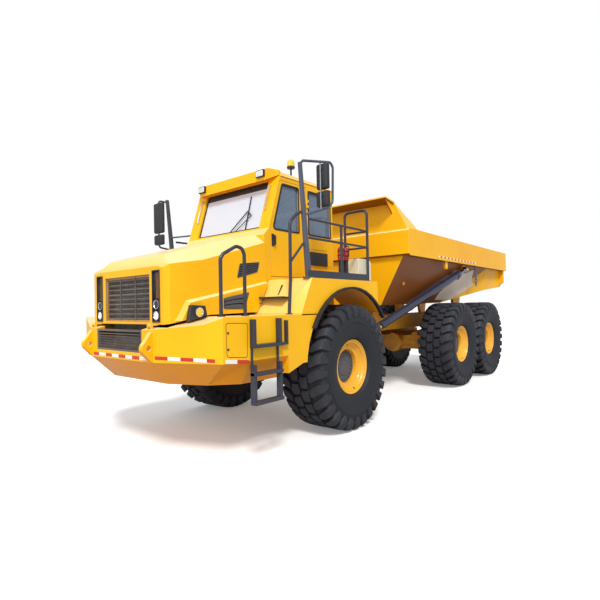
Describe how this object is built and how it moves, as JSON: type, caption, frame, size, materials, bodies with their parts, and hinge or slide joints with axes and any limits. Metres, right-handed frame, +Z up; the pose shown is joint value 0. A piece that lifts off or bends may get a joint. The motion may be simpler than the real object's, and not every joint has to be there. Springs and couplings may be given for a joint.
{
  "type": "articulated dump truck",
  "caption": "Six-wheel articulated dump truck with a tipping vee body, tilting hood, hinged cab door and frame that steers in the middle.",
  "frame": {"origin": "on the ground, below the middle of the whole length and width", "axes": "+X forward, +Y to the truck's left, +Z up"},
  "size_m": [11.3, 3.39, 4.19],
  "materials": {
    "yellow_paint": "gloss paint, light wear",
    "frame_paint": "satin paint, dusty",
    "rim_paint": "satin paint",
    "dark_steel": "dark satin paint",
    "hoist_paint": "dark gloss paint",
    "rod_chrome": "polished rod",
    "grille_black": "black satin",
    "black_plastic": "fine grain",
    "tyre_rubber": "worn rubber",
    "window_glass": "tinted",
    "seat_cloth": "woven",
    "engine_grey": "as cast",
    "bottle_red": "gloss",
    "box_cream": "satin",
    "beacon_amber": "clear amber"
  },
  "bodies": {
    "front": {"front_frame": "frame_paint", "front_axle": "frame_paint", "engine_block": "engine_grey", "nose": "yellow_paint", "tow_lugs": "dark_steel", "lower_grille": "grille_black", "fenders": "yellow_paint", "arch_lips": "black_plastic", "ladders": "dark_steel", "handrails": "dark_steel", "mirror_left": "dark_steel", "mirror_right": "dark_steel", "cab_shell": "yellow_paint", "cab_roof": "yellow_paint", "cab_glass": "window_glass", "work_lamps": "black_plastic", "seat": "seat_cloth", "dash_console": "black_plastic", "extinguishers": "bottle_red", "tanks": "box_cream", "beacon": "beacon_amber"},
    "hood_unit": {"hood": "yellow_paint", "main_grille": "grille_black", "head_lamps": "black_plastic", "hood_vents": "black_plastic"},
    "cab_door": {"door": "yellow_paint", "door_glass": "window_glass"},
    "hitch_unit": {"hitch": "frame_paint"},
    "rear_unit": {"rear_frame": "frame_paint", "bogie_beams": "frame_paint", "rear_axles": "frame_paint"},
    "load_bed": {"dump_body": "yellow_paint", "chains": "dark_steel"},
    "hoist_barrel_left": {"hoist_barrel_left": "hoist_paint"},
    "hoist_rod_left": {"hoist_rod_left": "rod_chrome"},
    "hoist_barrel_right": {"hoist_barrel_right": "hoist_paint"},
    "hoist_rod_right": {"hoist_rod_right": "rod_chrome"},
    "wheel_front_left": {"tyre_front_left": "tyre_rubber", "rim_front_left": "rim_paint"},
    "wheel_front_right": {"tyre_front_right": "tyre_rubber", "rim_front_right": "rim_paint"},
    "wheel_middle_left": {"tyre_middle_left": "tyre_rubber", "rim_middle_left": "rim_paint"},
    "wheel_middle_right": {"tyre_middle_right": "tyre_rubber", "rim_middle_right": "rim_paint"},
    "wheel_rear_left": {"tyre_rear_left": "tyre_rubber", "rim_rear_left": "rim_paint"},
    "wheel_rear_right": {"tyre_rear_right": "tyre_rubber", "rim_rear_right": "rim_paint"}
  },
  "joints": [
    {"name": "steer", "type": "hinge", "parent": "front", "child": "hitch_unit", "pos_m": [1.42, 0, 1.22], "axis": [0, 0, 1], "range_deg": [-45, 45]},
    {"name": "frame_roll", "type": "hinge", "parent": "hitch_unit", "child": "rear_unit", "pos_m": [0.95, 0, 1.22], "axis": [1, 0, 0], "range_deg": [-15, 15]},
    {"name": "bed_tip", "type": "hinge", "parent": "rear_unit", "child": "load_bed", "pos_m": [-4.35, 0, 1.56], "axis": [0, -1, 0], "range_deg": [0, 70]},
    {"name": "hoist_swing_left", "type": "hinge", "parent": "rear_unit", "child": "hoist_barrel_left", "pos_m": [0.75, 0.94, 1.43], "axis": [0.3711, 0.3289, 0.8684], "range_deg": [0, 3.46]},
    {"name": "hoist_slide_left", "type": "slide", "parent": "hoist_barrel_left", "child": "hoist_rod_left", "axis": [-0.9285, 0.1422, 0.343], "range_m": [0, 2.3747]},
    {"name": "hoist_swing_right", "type": "hinge", "parent": "rear_unit", "child": "hoist_barrel_right", "pos_m": [0.75, -0.94, 1.43], "axis": [-0.3711, 0.3289, -0.8684], "range_deg": [0, 3.46]},
    {"name": "hoist_slide_right", "type": "slide", "parent": "hoist_barrel_right", "child": "hoist_rod_right", "axis": [-0.9285, -0.1422, 0.343], "range_m": [0, 2.3747]},
    {"name": "hood_tilt", "type": "hinge", "parent": "front", "child": "hood_unit", "pos_m": [5.5, 0, 1.664], "axis": [0, 1, 0], "range_deg": [0, 60]},
    {"name": "door_swing", "type": "hinge", "parent": "front", "child": "cab_door", "pos_m": [2.904, 0.948, 3], "axis": [0, 0, 1], "range_deg": [0, 42]},
    {"name": "spin_front_left", "type": "hinge", "parent": "front", "child": "wheel_front_left", "pos_m": [2.7, 1.32, 0.9375], "axis": [0, 1, 0], "continuous": true},
    {"name": "spin_front_right", "type": "hinge", "parent": "front", "child": "wheel_front_right", "pos_m": [2.7, -1.32, 0.9375], "axis": [0, 1, 0], "continuous": true},
    {"name": "spin_middle_left", "type": "hinge", "parent": "rear_unit", "child": "wheel_middle_left", "pos_m": [-1.8, 1.32, 0.9375], "axis": [0, 1, 0], "continuous": true},
    {"name": "spin_middle_right", "type": "hinge", "parent": "rear_unit", "child": "wheel_middle_right", "pos_m": [-1.8, -1.32, 0.9375], "axis": [0, 1, 0], "continuous": true},
    {"name": "spin_rear_left", "type": "hinge", "parent": "rear_unit", "child": "wheel_rear_left", "pos_m": [-3.75, 1.32, 0.9375], "axis": [0, 1, 0], "continuous": true},
    {"name": "spin_rear_right", "type": "hinge", "parent": "rear_unit", "child": "wheel_rear_right", "pos_m": [-3.75, -1.32, 0.9375], "axis": [0, 1, 0], "continuous": true}
  ],
  "couplings": [
    {"joint": "hoist_swing_left", "follows": "bed_tip", "ratio": 0.049463},
    {"joint": "hoist_slide_left", "follows": "bed_tip", "m_per_rad": 1.9433},
    {"joint": "hoist_swing_right", "follows": "bed_tip", "ratio": 0.049463},
    {"joint": "hoist_slide_right", "follows": "bed_tip", "m_per_rad": 1.9433}
  ]
}
